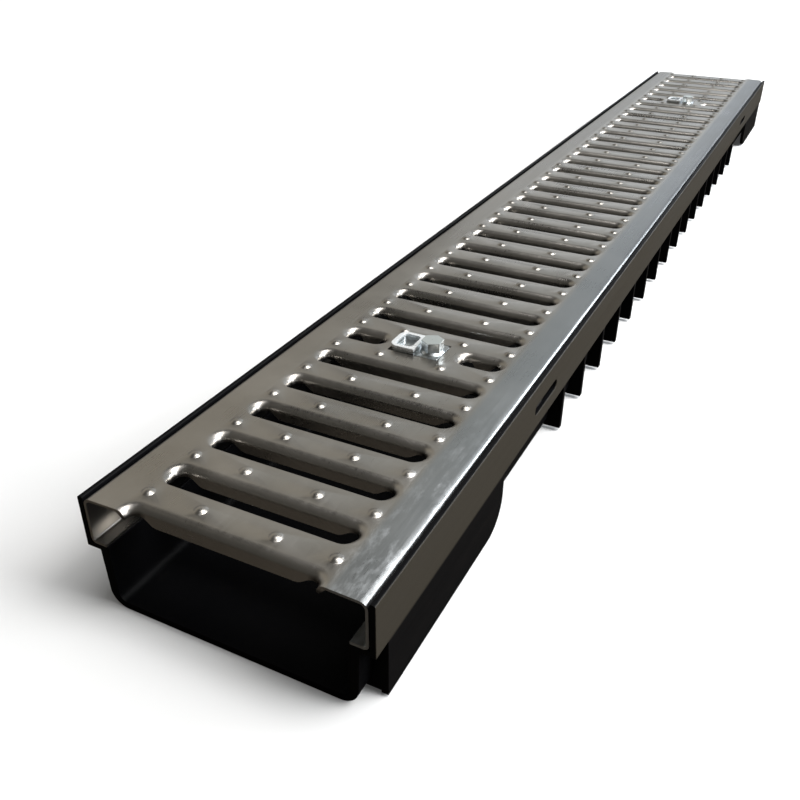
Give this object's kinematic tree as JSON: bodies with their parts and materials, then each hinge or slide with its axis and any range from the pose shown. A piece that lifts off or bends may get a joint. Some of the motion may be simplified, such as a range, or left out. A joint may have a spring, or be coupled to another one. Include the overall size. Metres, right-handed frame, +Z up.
{
  "type": "linear drain",
  "caption": "Surface water channel drain: moulded trough with ribbed rim and a stamped, slotted steel grate folded to a C section, held down by bolted cross bars.",
  "frame": {"origin": "under the middle of the channel's base, on the plane it stands on", "axes": "+X across the drain, +Y along it from the front end in the picture to the rear end, +Z up out of the grate"},
  "size_m": [0.131, 1, 0.0594],
  "materials": {
    "moulding": "black moulded polypropylene, slightly sheened",
    "galvanised_sheet": "satin galvanised sheet with light scuffs",
    "zinc_plate": "bright zinc plated",
    "dark_bar": "black coated steel",
    "zinc_bolt": "bright zinc plated"
  },
  "bodies": {
    "root": {"channel": "moulding", "grate": "galvanised_sheet", "front_clamp_plate": "zinc_plate", "rear_clamp_plate": "zinc_plate", "front_locking_bar": "dark_bar", "rear_locking_bar": "dark_bar", "front_bolt": "zinc_bolt", "rear_bolt": "zinc_bolt", "front_nut": "zinc_bolt", "rear_nut": "zinc_bolt"}
  },
  "joints": []
}
